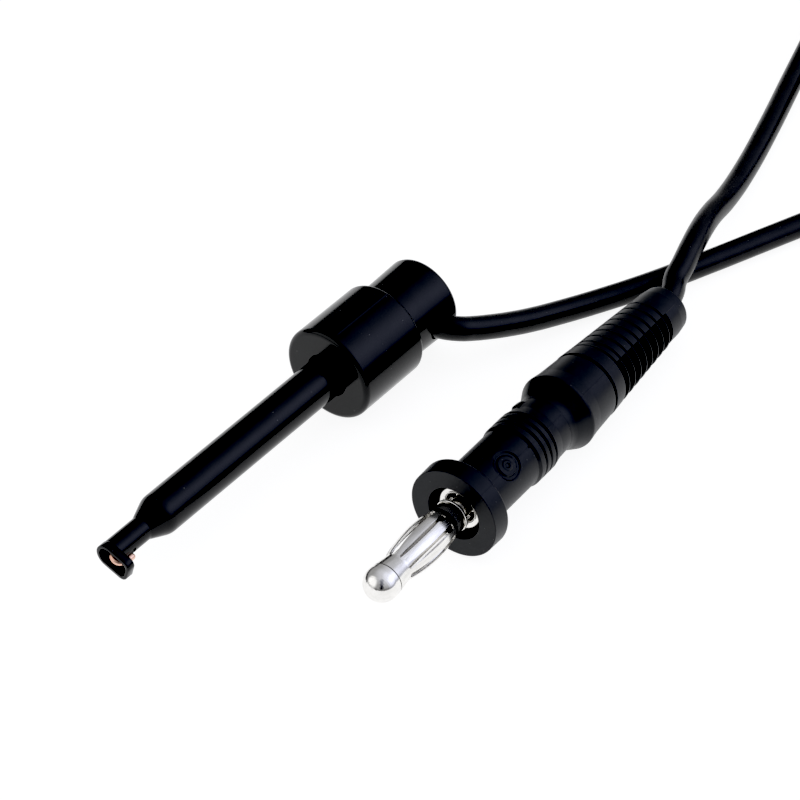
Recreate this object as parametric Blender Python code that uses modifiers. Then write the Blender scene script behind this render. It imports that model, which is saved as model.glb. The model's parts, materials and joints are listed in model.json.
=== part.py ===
"""A test lead: a spring hook clip and a 4 mm plug, joined by one flexible lead.

The clip lies along X with its tip at -X. It rests on its barrel, so the table is z = 0 and the
origin is the middle of the clip's footprint. The plug lies beside it on its flange and sleeve.
Outlines are in millimetres, as (distance along the axis, radius); everything built is in metres.
"""
import math

import bmesh
import bpy
from mathutils import Matrix, Vector

MM = 0.001
GAP = 0.3                     # between pieces that rest on or are fitted in each other

# --- hook clip: distances along X from the middle of the clip, radii about its axis
BARREL_R = 5.68
AXIS_Z = BARREL_R             # the clip's axis above the table
TIP_X = -26.4                 # front of the shoe
TAIL_X = 26.4                 # thumb face
BARREL_FRONT = 9.1
BARREL_REAR = 19.15
BARREL_WALL = 1.6             # the barrel's front wall
BARREL_BORE_R = 4.86
STEM_R = 2.40
STEM_BORE_R = 1.45
NOZZLE_R = 1.38
NOZZLE_BORE_R = 0.60
SHOULDER_REAR = -18.6
SHOULDER_REAR_R = 2.38
SHOULDER_FRONT = -21.0
NOSE_FLANGE_R = 3.7
NOSE_REAR = 12.2
PLUNGER_R = 4.61
PLUNGER_REAR_R = 4.88
PLUNGER_FLARE_FROM = 17.0
PLUNGER_FRONT = 15.3
PLUNGER_CAVITY_R = 3.7
PLUNGER_CAVITY_END = 25.0
SEAT_FRONT = 18.9             # the disc that the spring pushes on
SEAT_REAR = 19.7

# --- shoe at the tip: a stadium that reaches past the nozzle on one side, where the hook turns
SHOE_THICK = 1.0
SHOE_R = 1.42
SHOE_WALL = 0.42
SHOE_REACH = 1.48             # from the nozzle's axis to the middle of the shoe's far end
SHOE_POCKET = 0.80
SHOE_DROP_DEG = 17.0          # the reach points to -Y, this far below level
HOOK_WIRE_R = 0.36
HOOK_TURN_R = 0.84
HOOK_TURN_X = -25.16          # where the hook's bend starts
HOOK_END_X = -24.1
HOOK_LEG_HOLE_R = 0.54
HOOK_REAR = 20.8
HOOK_BORE_R = 0.63            # the holes that the hook's straight wire goes through

# --- where the lead leaves the plunger, inside it and outside
LEAD_R = 1.40
RING_BORE_R = LEAD_R + 0.25   # the holes of the rings that sit on the jacket
EXIT_X = 21.8                 # where the side hole's axis meets the clip's axis
EXIT_BORE_R = 1.60
EXIT_TURN_DEG = 18.0          # the side hole points to -Y, turned this far towards +X

# --- sealed inside the plunger
SPRING_R = 2.3                # middle of the spring's wire
SPRING_WIRE_R = 0.22
SPRING_TURNS = 6.5
SPRING_POINTS = 12            # points along one turn
SEAT_R = 3.4
FERRULE_R = 1.25
FERRULE_FRONT = 20.2
FERRULE_REAR = 23.9
CONDUCTOR_R = 0.48
STOP_RING_R = 2.1
STOP_RING_THICK = 0.6
STOP_RING_DEPTH = 2.15        # out from the clip's axis
LEAD_START = 2.05             # the jacket's cut end, out from the clip's axis

# --- plug: distances along its own axis from the middle of its round nose
PLUG_R = 2.0
FLANGE_R = 5.36
FLANGE_FRONT = 12.85
FLANGE_FRONT_R = 5.30
FLANGE_REAR = 15.2
SLEEVE_R = 4.68
SLEEVE_FRONT = 31.35
SLEEVE_REAR = 38.2
BOOT_FRONT = 38.5
BOOT_REAR = 55.4
BOOT_FRONT_R = 4.24
BAND_END = 40.3              # a smooth band comes before the ribs
BAND_END_R = 4.06
BAND_LONG = BAND_END - BOOT_FRONT
BOOT_TAPER = 0.0735           # loss of radius for each millimetre along
RIB_PITCH = 1.36
RIB_COUNT = 8
FIRST_GROOVE = 41.3
GROOVE_WIDE = 0.34
PIN_NECK_R = 1.15             # the pin inside the cage
SHANK_R = 1.45                # the pin behind the cage
SHANK_END = 18.6
COLLAR_R = 2.85
COLLAR_FRONT = 13.75
COLLAR_REAR = 15.35
RECESS_R = 3.12
BODY_R = 3.65
GRIP_R = 3.86
GRIP_FRONT = 23.95
GRIP_REAR = 27.1
GRIP_GROOVES = (24.7, 25.65, 26.6)
BODY_REAR = 36.0
CRIMP_FRONT = 19.4
CRIMP_REAR = 27.0
CRIMP_R = 1.75
LEAD_END = 32.7               # the jacket's cut end inside the plug
CAGE_FRONT = 0.8
CAGE_REAR = 12.1
CAGE_WALL = 0.26
CAGE_SLOTS = 9
CAGE_SLOT_WIDE = 0.66
CAGE_SLOT_LONG = 7.6
CAGE_SLOT_MIDDLE = 6.8
CAGE_SLOT_TURN_DEG = 35.6
CAGE_BULGE_AT = 7.2
CAGE_BULGE_R = 2.24
CAGE_WAIST_AT = 2.8
CAGE_WAIST_R = 1.68
CAGE_END_R = 1.93
CAGE_BAND_R = 1.85             # least radius behind the bulge
CAGE_FACETS = 36
PLUG_PLACE = (-12.04, -24.54)  # the round nose, seen from above
PLUG_YAW_DEG = 3.16
REST_FLANGE = 14.95           # where the flange and the clamp touch the table
REST_SLEEVE = 32.95

# --- lead: the coil lies flat, and the two runs lead to it
COIL_PLACE = (117.5, -22.0)
COIL_TURN_R = 16.5            # middle of the wound turns
COIL_COLUMNS = 4
COIL_LAYERS = 2
COIL_LIFT = 0.9               # room under the coil for the tie
TIE_THICK = 0.5
TIE_WIDE = 3.2
RUN_STEP = 2.8                # spacing of the points along a run

STEPS = 24                    # facets round the larger turned pieces
FEW_STEPS = 20                # and round the small ones
WIRE_STEPS = 12               # and round the conductors

BLACK_GLOSS = (0.010, 0.010, 0.014)
BLACK_SATIN = (0.016, 0.016, 0.021)
BLACK_LEAD = (0.012, 0.012, 0.016)
NICKEL = (0.72, 0.71, 0.69)
BRASS = (0.72, 0.52, 0.24)
COPPER = (0.80, 0.42, 0.26)
STEEL = (0.55, 0.55, 0.56)


def clear_scene():
    for obj in list(bpy.data.objects):
        bpy.data.objects.remove(obj, do_unlink=True)


def make_collection(name):
    group = bpy.data.collections.new(name)
    bpy.context.scene.collection.children.link(group)
    return group


def principled(name, colour, roughness, metallic=0.0):
    mat = bpy.data.materials.new(name)
    mat.use_nodes = True
    shader = mat.node_tree.nodes["Principled BSDF"]
    shader.inputs["Base Color"].default_value = (*colour, 1.0)
    shader.inputs["Roughness"].default_value = roughness
    shader.inputs["Metallic"].default_value = metallic
    return mat


def add_object(name, data, place, mat=None, cutter=False):
    """Link a new object whose mesh is in millimetres in the frame `place`."""
    obj = bpy.data.objects.new(name, data)
    (cutters if cutter else parts).objects.link(obj)
    obj.matrix_world = place
    if mat:
        data.materials.append(mat)
    if cutter:
        obj.hide_render = True
        obj.display_type = "WIRE"
    return obj


def rounded(corners, closed):
    """Points of an outline whose corners (along, radius, fillet) are turned into arcs."""
    points = []
    count = len(corners)
    for i, (along, radius, fillet) in enumerate(corners):
        here = Vector((along, radius))
        if not fillet or (not closed and i in (0, count - 1)):
            points.append(here)
            continue
        before = (Vector(corners[i - 1][:2]) - here).normalized()
        after = (Vector(corners[(i + 1) % count][:2]) - here).normalized()
        half = before.angle(after) / 2
        reach = fillet / math.tan(half)
        middle = here + (before + after).normalized() * (fillet / math.sin(half))
        start = here + before * reach - middle
        turn = start.angle_signed(here + after * reach - middle)
        pieces = max(2, round(abs(turn) / math.radians(32)))
        for k in range(pieces + 1):
            angle = -turn * k / pieces
            spin = Matrix.Rotation(angle, 2)
            points.append(middle + spin @ start)
    return points


def turned(name, corners, place, mat=None, steps=STEPS, closed=False, cutter=False):
    """A turned piece about the frame's Z axis. The corners run down the outer side, from the
    far end to the near one; a bored piece is a closed outline that comes back up its bore."""
    points = rounded(corners, closed)
    links = [(i, i + 1) for i in range(len(points) - 1)]
    if closed:
        links.append((len(points) - 1, 0))
    mesh = bpy.data.meshes.new(name)
    mesh.from_pydata([(radius * MM, 0.0, along * MM) for along, radius in points], links, [])
    obj = add_object(name, mesh, place, mat, cutter)
    screw = obj.modifiers.new("Screw", "SCREW")
    screw.axis = "Z"
    screw.angle = math.tau
    screw.steps = steps
    screw.render_steps = steps
    screw.use_merge_vertices = True
    screw.merge_threshold = 0.00001
    screw.use_smooth_shade = True
    return obj


def evaluated_mesh(obj):
    """The object's final mesh, welded, with the object removed."""
    depsgraph = bpy.context.evaluated_depsgraph_get()
    mesh = bpy.data.meshes.new_from_object(obj.evaluated_get(depsgraph))
    work = bmesh.new()
    work.from_mesh(mesh)
    bmesh.ops.remove_doubles(work, verts=work.verts, dist=0.000001)
    work.to_mesh(mesh)
    work.free()
    bpy.data.objects.remove(obj, do_unlink=True)
    return mesh


def plate(name, outlines, thickness, place, mat=None, cutter=False):
    """A flat plate cut to the outlines, with the frame's XY plane halfway through it."""
    curve = bpy.data.curves.new(name, "CURVE")
    curve.dimensions = "2D"
    curve.fill_mode = "BOTH"
    curve.extrude = thickness * MM / 2
    for outline in outlines:
        spline = curve.splines.new("POLY")
        spline.points.add(len(outline) - 1)
        spline.use_cyclic_u = True
        for point, (x, y) in zip(spline.points, outline):
            point.co = (x * MM, y * MM, 0.0, 1.0)
    draft = add_object(name + "_draft", curve, place)
    mesh = evaluated_mesh(draft)
    mesh.name = name
    return add_object(name, mesh, place, mat, cutter)


def tube(name, path, radius, place, mat, sides=2):
    """A round wire or cable through the points of the path, in the frame's millimetres."""
    curve = bpy.data.curves.new(name, "CURVE")
    curve.dimensions = "3D"
    curve.bevel_depth = radius * MM
    curve.bevel_resolution = sides
    curve.use_fill_caps = True
    spline = curve.splines.new("POLY")
    spline.points.add(len(path) - 1)
    for point, position in zip(spline.points, path):
        point.co = (*(Vector(position) * MM), 1.0)
    return add_object(name, curve, place, mat)


def boolean(obj, other, operation):
    modifier = obj.modifiers.new(other.name, "BOOLEAN")
    modifier.operation = operation
    modifier.object = other


def stadium(reach, radius, arc_points=9):
    """A stadium whose left end is centred on the frame and whose right end is `reach` away."""
    outline = []
    for centre, start in ((reach, -90.0), (0.0, 90.0)):
        for k in range(arc_points):
            angle = math.radians(start + 180.0 * k / (arc_points - 1))
            outline.append((centre + radius * math.cos(angle), radius * math.sin(angle)))
    return outline


def smooth_route(points, step):
    """Points every `step` or so along a smooth curve through the route's own points."""
    route = [Vector(p) for p in points]
    ends = [2 * route[0] - route[1], *route, 2 * route[-1] - route[-2]]
    fine = []
    for p0, p1, p2, p3 in zip(ends, ends[1:], ends[2:], ends[3:]):
        t1 = (p1 - p0).length ** 0.5
        t2 = t1 + (p2 - p1).length ** 0.5
        t3 = t2 + (p3 - p2).length ** 0.5
        for k in range(24):
            t = t1 + (t2 - t1) * k / 24
            a1 = p0 + (p1 - p0) * (t / t1)
            a2 = p1 + (p2 - p1) * ((t - t1) / (t2 - t1))
            a3 = p2 + (p3 - p2) * ((t - t2) / (t3 - t2))
            b1 = a1 + (a2 - a1) * (t / t2)
            b2 = a2 + (a3 - a2) * ((t - t1) / (t3 - t1))
            fine.append(b1 + (b2 - b1) * ((t - t1) / (t2 - t1)))
    fine.append(route[-1])
    total = sum((b - a).length for a, b in zip(fine, fine[1:]))
    count = max(2, round(total / step))
    picked, walked, target = [fine[0]], 0.0, total / count
    for a, b in zip(fine, fine[1:]):
        walked += (b - a).length
        if walked >= target - 1e-6 and len(picked) < count:
            picked.append(b)
            target += total / count
    picked.append(fine[-1])
    return picked


# --- the hook clip --------------------------------------------------------------------------

def clip_frame(x=0.0):
    """A frame whose Z runs along the clip's axis towards the thumb face, set at x."""
    return Matrix.Translation((x * MM, 0.0, AXIS_Z * MM)) @ Matrix.Rotation(math.pi / 2, 4, "Y")


def shoe_frame(x):
    """A frame at the nozzle's axis whose Z runs to +X and whose X is the way the shoe reaches."""
    drop = math.radians(SHOE_DROP_DEG)
    reach = Vector((0.0, -math.cos(drop), -math.sin(drop)))
    along = Vector((1.0, 0.0, 0.0))
    turn = Matrix((reach, along.cross(reach), along)).transposed().to_4x4()
    return Matrix.Translation((x * MM, 0.0, AXIS_Z * MM)) @ turn


def make_nose_tube(mat):
    nose = turned("nose_tube", [
        (NOSE_REAR, NOSE_FLANGE_R, 0), (NOSE_REAR - 0.8, NOSE_FLANGE_R, 0),
        (NOSE_REAR - 0.8, STEM_R, 0), (SHOULDER_REAR, SHOULDER_REAR_R, 2.0),
        (SHOULDER_FRONT, NOZZLE_R, 0.35),
        (TIP_X + SHOE_THICK / 2, NOZZLE_R, 0), (TIP_X + SHOE_THICK / 2, NOZZLE_BORE_R, 0),
        (SHOULDER_FRONT + 1.0, NOZZLE_BORE_R, 0), (SHOULDER_REAR + 1.0, STEM_BORE_R, 0),
        (NOSE_REAR, STEM_BORE_R, 0),
    ], clip_frame(), mat, closed=True)
    middle = TIP_X + SHOE_THICK / 2
    shoe = plate("shoe_blank", [stadium(SHOE_REACH, SHOE_R)], SHOE_THICK, shoe_frame(middle),
                 cutter=True)
    pocket = plate("shoe_pocket", [stadium(SHOE_REACH, SHOE_R - SHOE_WALL)], 2 * SHOE_POCKET,
                   shoe_frame(TIP_X), cutter=True)
    bore = turned("shoe_bore", [(3.0, NOZZLE_BORE_R, 0), (-3.0, NOZZLE_BORE_R, 0)],
                  clip_frame(TIP_X), cutter=True, steps=STEPS)
    close_ends(bore)
    leg_hole = turned("hook_leg_hole", [(3.0, HOOK_LEG_HOLE_R, 0),
                                        (-3.0, HOOK_LEG_HOLE_R, 0)],
                      shoe_frame(TIP_X) @ Matrix.Translation((2 * HOOK_TURN_R * MM, 0.0, 0.0)),
                      cutter=True, steps=FEW_STEPS)
    close_ends(leg_hole)
    boolean(nose, shoe, "UNION")
    boolean(nose, pocket, "DIFFERENCE")
    boolean(nose, bore, "DIFFERENCE")
    boolean(nose, leg_hole, "DIFFERENCE")
    return nose


def close_ends(obj):
    """Give a plain turned cutter flat ends, by starting and ending its profile on the axis."""
    mesh = obj.data
    top = mesh.vertices[0].co.z
    bottom = mesh.vertices[-1].co.z
    radius = mesh.vertices[0].co.x
    mesh.clear_geometry()
    mesh.from_pydata([(0.0, 0.0, top), (radius, 0.0, top), (radius, 0.0, bottom),
                      (0.0, 0.0, bottom)], [(0, 1), (1, 2), (2, 3)], [])


def make_barrel(mat):
    hole = STEM_R + 0.15
    inside = BARREL_FRONT + BARREL_WALL
    return turned("finger_barrel", [
        (BARREL_REAR, BARREL_R, 0.45), (BARREL_FRONT, BARREL_R, 0.6),
        (BARREL_FRONT, hole, 0), (inside, hole, 0),
        (inside, BARREL_BORE_R, 0.3), (BARREL_REAR, BARREL_BORE_R, 0),
    ], clip_frame(), mat, closed=True)


def exit_frame(depth):
    """A frame on the side hole's axis, `depth` out from the clip's axis, with Z pointing out."""
    turn = math.radians(EXIT_TURN_DEG)
    out = Vector((math.sin(turn), -math.cos(turn), 0.0))
    side = Vector((0.0, 0.0, 1.0))
    axes = Matrix((side, out.cross(side), out)).transposed().to_4x4()
    start = Vector((EXIT_X, 0.0, AXIS_Z)) + out * depth
    return Matrix.Translation(start * MM) @ axes


def make_plunger(mat):
    plunger = turned("plunger_body", [
        (TAIL_X, 0, 0), (TAIL_X, PLUNGER_REAR_R, 0.55), (PLUNGER_FLARE_FROM, PLUNGER_R, 0),
        (PLUNGER_FRONT, PLUNGER_R, 0),
        (PLUNGER_FRONT, PLUNGER_CAVITY_R, 0), (PLUNGER_CAVITY_END, PLUNGER_CAVITY_R, 0.4),
        (PLUNGER_CAVITY_END, 0, 0),
    ], clip_frame(), mat)
    hole = turned("lead_side_hole", [(4.0, EXIT_BORE_R, 0), (0.0, EXIT_BORE_R, 0)],
                  exit_frame(1.6), cutter=True, steps=FEW_STEPS)
    close_ends(hole)
    boolean(plunger, hole, "DIFFERENCE")
    return plunger


def make_hook_wire(mat):
    reach = shoe_frame(0.0).to_3x3() @ Vector((1.0, 0.0, 0.0))
    path = [Vector((HOOK_REAR, 0, AXIS_Z)), Vector((HOOK_TURN_X + 2.0, 0, AXIS_Z))]
    for k in range(9):
        angle = math.pi * k / 8
        ahead = HOOK_TURN_X - HOOK_TURN_R * math.sin(angle)
        out = HOOK_TURN_R * (1 - math.cos(angle))
        path.append(Vector((ahead, 0, AXIS_Z)) + reach * out)
    path.append(Vector((HOOK_END_X, 0, AXIS_Z)) + reach * 2 * HOOK_TURN_R)
    return tube("hook_wire", path, HOOK_WIRE_R, Matrix.Identity(4), mat)


def make_spring(mat):
    front, rear = NOSE_REAR + GAP, SEAT_FRONT - GAP
    length = rear - front - 2 * SPRING_WIRE_R
    path = []
    count = round(SPRING_TURNS * SPRING_POINTS)
    for k in range(count + 1):
        share = k / count
        angle = math.tau * SPRING_TURNS * share
        # closed end turns: the pitch eases in and out over the first and last turn
        eased = share - 0.55 * math.sin(math.tau * share) / math.tau
        path.append((front + SPRING_WIRE_R + length * eased, SPRING_R * math.cos(angle),
                     AXIS_Z + SPRING_R * math.sin(angle)))
    return tube("return_spring", path, SPRING_WIRE_R, Matrix.Identity(4), mat, sides=1)


def make_spring_seat(mat):
    return turned("spring_seat", [
        (SEAT_REAR, SEAT_R, 0), (SEAT_FRONT, SEAT_R, 0), (SEAT_FRONT, HOOK_BORE_R, 0),
        (SEAT_REAR, HOOK_BORE_R, 0),
    ], clip_frame(), mat, steps=FEW_STEPS, closed=True)


def make_ferrule(mat):
    ferrule = turned("contact_ferrule", [
        (FERRULE_REAR, 0, 0), (FERRULE_REAR, FERRULE_R, 0.25), (FERRULE_FRONT, FERRULE_R, 0.25),
        (FERRULE_FRONT, HOOK_BORE_R, 0), (HOOK_REAR + GAP, HOOK_BORE_R, 0),
        (HOOK_REAR + GAP, 0, 0),
    ], clip_frame(), mat, steps=FEW_STEPS)
    well = turned("conductor_well", [(2.0, CONDUCTOR_R + GAP, 0), (0.25, CONDUCTOR_R + GAP, 0)],
                  exit_frame(0.0), cutter=True, steps=WIRE_STEPS)
    close_ends(well)
    boolean(ferrule, well, "DIFFERENCE")
    return ferrule


def make_clip_lead_end(metal, steel):
    turned("clip_conductor", [(LEAD_START - GAP, 0, 0), (LEAD_START - GAP, CONDUCTOR_R, 0),
                              (0.5, CONDUCTOR_R, 0), (0.5, 0, 0)],
           exit_frame(0.0), metal, steps=WIRE_STEPS)
    turned("jacket_stop_ring", [
        (STOP_RING_THICK, STOP_RING_R, 0), (0, STOP_RING_R, 0), (0, RING_BORE_R, 0),
        (STOP_RING_THICK, RING_BORE_R, 0),
    ], exit_frame(STOP_RING_DEPTH), steel, steps=FEW_STEPS, closed=True)


# --- the plug -------------------------------------------------------------------------------

def plug_frame(along=0.0):
    """A frame on the plug's axis, `along` from the middle of its round nose, Z to the lead.
    The plug lies on its flange and its clamp, so its rear is a little lower than its nose."""
    tilt = math.atan2(FLANGE_R - SLEEVE_R, REST_SLEEVE - REST_FLANGE)
    yaw = math.radians(PLUG_YAW_DEG)
    axis = Vector((math.cos(tilt) * math.cos(yaw), math.cos(tilt) * math.sin(yaw),
                   -math.sin(tilt)))
    down = Vector((0.0, 0.0, -1.0))
    down = (down - axis * down.dot(axis)).normalized()
    axes = Matrix((down, axis.cross(down), axis)).transposed().to_4x4()
    nose_z = FLANGE_R * math.cos(tilt) + REST_FLANGE * math.sin(tilt) + 0.02
    start = Vector((*PLUG_PLACE, nose_z)) + axis * along
    return Matrix.Translation(start * MM) @ axes


def nose_arc(radius, pieces=6):
    """Quarter circle of the round nose, from its side to its front."""
    return [(-radius * math.sin(math.pi / 2 * k / pieces),
             radius * math.cos(math.pi / 2 * k / pieces), 0) for k in range(pieces)]


def make_plug_pin(mat):
    rim = CAGE_REAR + GAP
    seat = CAGE_FRONT - 0.15
    outline = [(SHANK_END, 0, 0), (SHANK_END, SHANK_R, 0.2), (rim + 0.3, SHANK_R, 0),
               (rim + 0.3, CAGE_END_R, 0), (rim, CAGE_END_R, 0), (rim, PIN_NECK_R, 0),
               (seat, PIN_NECK_R, 0), (seat, CAGE_END_R, 0)]
    outline += nose_arc(PLUG_R) + [(-PLUG_R, 0, 0)]
    return turned("plug_pin", outline, plug_frame(), mat)


def cage_radius(along):
    """Outer radius of the contact cage: a narrow waist, then a bulge."""
    if along <= CAGE_WAIST_AT:
        share = (along - CAGE_FRONT) / (CAGE_WAIST_AT - CAGE_FRONT)
        return CAGE_END_R + (CAGE_WAIST_R - CAGE_END_R) * share
    reach = (along - CAGE_BULGE_AT) / (CAGE_BULGE_AT - CAGE_WAIST_AT)
    radius = CAGE_WAIST_R + (CAGE_BULGE_R - CAGE_WAIST_R) * max(0.0, 1 - reach ** 2) ** 0.9
    return max(radius, CAGE_BAND_R) if along > CAGE_BULGE_AT else radius


def make_contact_cage(mat):
    stations = [CAGE_FRONT, CAGE_WAIST_AT, 4.2, 5.6, 7.2, 8.8, 10.2, 11.5, CAGE_REAR]
    outer = [(along, cage_radius(along), 0) for along in reversed(stations)]
    inner = [(along, cage_radius(along) - CAGE_WALL, 0) for along in stations]
    cage = turned("contact_cage", outer + inner, plug_frame(), mat, steps=CAGE_FACETS, closed=True)
    cutter_mesh = bmesh.new()
    for k in range(CAGE_SLOTS):
        box = bmesh.ops.create_cube(cutter_mesh, size=1.0)["verts"]
        bmesh.ops.scale(cutter_mesh, verts=box,
                        vec=(CAGE_BULGE_R * MM, CAGE_SLOT_WIDE * MM, CAGE_SLOT_LONG * MM))
        bmesh.ops.translate(cutter_mesh, verts=box,
                            vec=(CAGE_BULGE_R * MM, 0.0, CAGE_SLOT_MIDDLE * MM))
        spin = Matrix.Rotation(math.tau * k / CAGE_SLOTS + math.radians(CAGE_SLOT_TURN_DEG), 3, "Z")
        bmesh.ops.rotate(cutter_mesh, verts=box, matrix=spin)
    mesh = bpy.data.meshes.new("cage_slots")
    cutter_mesh.to_mesh(mesh)
    cutter_mesh.free()
    slots = add_object("cage_slots", mesh, plug_frame(), cutter=True)
    boolean(cage, slots, "DIFFERENCE")
    return cage


def make_pin_collar(mat):
    bore = SHANK_R + 0.25
    return turned("pin_collar", [
        (COLLAR_REAR, COLLAR_R, 0), (COLLAR_FRONT, COLLAR_R, 0.55), (COLLAR_FRONT, bore, 0),
        (COLLAR_REAR, bore, 0),
    ], plug_frame(), mat, closed=True)


def grooves(starts, radius_at, width, depth):
    """Corners of grip grooves, far end first; `starts` are the grooves' near edges."""
    corners = []
    for start in sorted(starts, reverse=True):
        for along, cut in ((start + width, 0), (start + width / 2, depth), (start, 0)):
            corners.append((along, radius_at(along) - cut, 0))
    return corners


def make_plug_sleeve(mat):
    grip = grooves(GRIP_GROOVES, lambda along: GRIP_R, 0.36, 0.22)
    step = SLEEVE_FRONT + 0.2
    recess_end = COLLAR_REAR + GAP
    room_front = CRIMP_FRONT - 0.4
    return turned("plug_sleeve", [
        (BODY_REAR, 3.1, 0), (step, 3.1, 0), (step, 3.46, 0), (GRIP_REAR + 0.5, BODY_R, 0),
        (GRIP_REAR, GRIP_R, 0), *grip, (GRIP_FRONT, GRIP_R, 0), (GRIP_FRONT - 0.4, BODY_R, 0),
        (FLANGE_REAR, BODY_R, 0), (FLANGE_REAR, FLANGE_R, 0.25),
        (FLANGE_FRONT, FLANGE_FRONT_R, 0.12),
        (FLANGE_FRONT, RECESS_R, 0), (recess_end, RECESS_R, 0),
        (recess_end, SHANK_R + 0.35, 0), (room_front, SHANK_R + 0.35, 0),
        (room_front, 2.3, 0), (BODY_REAR, 2.3, 0),
    ], plug_frame(), mat, closed=True)


def make_crimp_barrel(mat):
    return turned("crimp_barrel", [
        (20.8, 0, 0), (20.8, 0.95, 0), (CRIMP_REAR, 0.95, 0), (CRIMP_REAR, CRIMP_R, 0.2),
        (CRIMP_FRONT, CRIMP_R, 0.2), (CRIMP_FRONT, 0, 0),
    ], plug_frame(), mat, steps=FEW_STEPS)


def make_plug_lead_end(metal, steel):
    turned("plug_conductor", [(LEAD_END - GAP, 0, 0), (LEAD_END - GAP, 0.6, 0), (21.2, 0.6, 0),
                              (21.2, 0, 0)], plug_frame(), metal, steps=WIRE_STEPS)
    turned("jacket_crimp", [
        (35.6, 2.0, 0), (33.4, 2.0, 0), (33.4, RING_BORE_R, 0), (35.6, RING_BORE_R, 0),
    ], plug_frame(), steel, steps=FEW_STEPS, closed=True)


def make_clamp_sleeve(mat):
    lip_end = SLEEVE_FRONT + 0.6
    return turned("clamp_sleeve", [
        (SLEEVE_REAR, BOOT_FRONT_R, 0.1), (34.6, 4.46, 0),
        (REST_SLEEVE, SLEEVE_R, 0.5), (SLEEVE_FRONT, 3.95, 0), (SLEEVE_FRONT, 3.72, 0),
        (lip_end, 3.72, 0), (lip_end, 3.45, 0), (SLEEVE_REAR, 3.45, 0),
    ], plug_frame(), mat, closed=True)


def boot_radius(along):
    """Outer radius of the ribbed boot: a smooth band, then an even taper to the end collar."""
    if along < BAND_END:
        return BOOT_FRONT_R - (BOOT_FRONT_R - BAND_END_R) * (along - BOOT_FRONT) / BAND_LONG
    return BAND_END_R - BOOT_TAPER * (along - BAND_END)


def make_boot(mat):
    starts = [FIRST_GROOVE + RIB_PITCH * k for k in range(RIB_COUNT)]
    ribs = grooves(starts, boot_radius, GROOVE_WIDE, 0.24)
    return turned("bend_relief_boot", [
        (BOOT_REAR, 2.84, 0.4), (53.8, boot_radius(53.8), 0), *ribs,
        (BAND_END, BAND_END_R, 0), (BOOT_FRONT, BOOT_FRONT_R, 0.1),
        (BOOT_FRONT, RING_BORE_R, 0), (49.5, RING_BORE_R, 0), (52.9, RING_BORE_R + 0.2, 0),
        (BOOT_REAR, 2.25, 0),
    ], plug_frame(), mat, closed=True)


# --- the lead -------------------------------------------------------------------------------

# middle line of the run from the plunger's side hole to the coil, after it has left the hole
CLIP_ROUTE = [
    (24.5, -6.6, 5.5), (25.6, -7.2, 5.1), (27.9, -8.3, 4.4), (30.4, -9.2, 3.6),
    (33.0, -10.1, 2.9), (37.1, -11.4, 2.0), (42.0, -13.4, 1.5), (48.0, -16.2, 1.45),
    (55.1, -19.1, 1.45), (65.5, -23.1, 1.45), (77.5, -27.8, 1.45), (88.5, -32.6, 1.45),
    (98.8, -36.8, 1.45),
]
# middle line of the run from the boot's mouth to the coil, over the other run in a low hump
PLUG_ROUTE = [
    (47.5, -19.8, 4.25), (50.0, -19.2, 4.65), (52.4, -18.5, 4.85), (56.3, -17.3, 4.65),
    (60.0, -16.2, 3.9), (65.5, -14.9, 2.5), (72.5, -13.1, 1.6), (81.5, -10.6, 1.45),
    (91.5, -7.6, 1.5), (100.7, -5.1, 2.4),
]


def along_frame(frame, distance):
    return frame @ Vector((0.0, 0.0, distance * MM)) / MM


def make_lead(mat, band):
    start = [along_frame(exit_frame(0.0), d) for d in (LEAD_START, 4.2, 5.6)]
    tube("lead_clip_run", smooth_route([*start, *CLIP_ROUTE], RUN_STEP), LEAD_R,
         Matrix.Identity(4), mat)
    lean = Vector((0.0, 0.8, 0.6))
    back = [along_frame(plug_frame(), d) + lean * off
            for d, off in ((LEAD_END, 0), (42.0, 0), (51.0, 0), (54.5, 0.2), (57.5, 0.7))]
    tube("lead_plug_run", smooth_route([*back, *PLUG_ROUTE], RUN_STEP), LEAD_R,
         Matrix.Identity(4), mat)
    make_coil(mat, band)


def make_coil(mat, band):
    """The wound length as one ring, and the band round it on the side away from the runs."""
    half_wide = COIL_COLUMNS * LEAD_R
    high = COIL_LAYERS * 2 * LEAD_R
    inner, outer = COIL_TURN_R - half_wide, COIL_TURN_R + half_wide
    place = Matrix.Translation((COIL_PLACE[0] * MM, COIL_PLACE[1] * MM, COIL_LIFT * MM))
    turned("lead_coil", [
        (high, outer, 1.0), (0, outer, 1.0), (0, inner, 1.0), (high, inner, 1.0),
    ], place, mat, closed=True)
    room = GAP + 0.05
    wide, tall = half_wide + room, high / 2 + room
    inside = [(-wide, -tall), (wide, -tall), (wide, tall), (-wide, tall)]
    outside = [(math.copysign(abs(x) + TIE_THICK, x), math.copysign(abs(y) + TIE_THICK, y))
               for x, y in inside]
    middle = Vector((COIL_PLACE[0] + COIL_TURN_R, COIL_PLACE[1], COIL_LIFT + high / 2))
    stand = Matrix.Translation(middle * MM) @ Matrix.Rotation(math.pi / 2, 4, "X")
    plate("coil_tie", [outside, inside], TIE_WIDE, stand, band)


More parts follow.
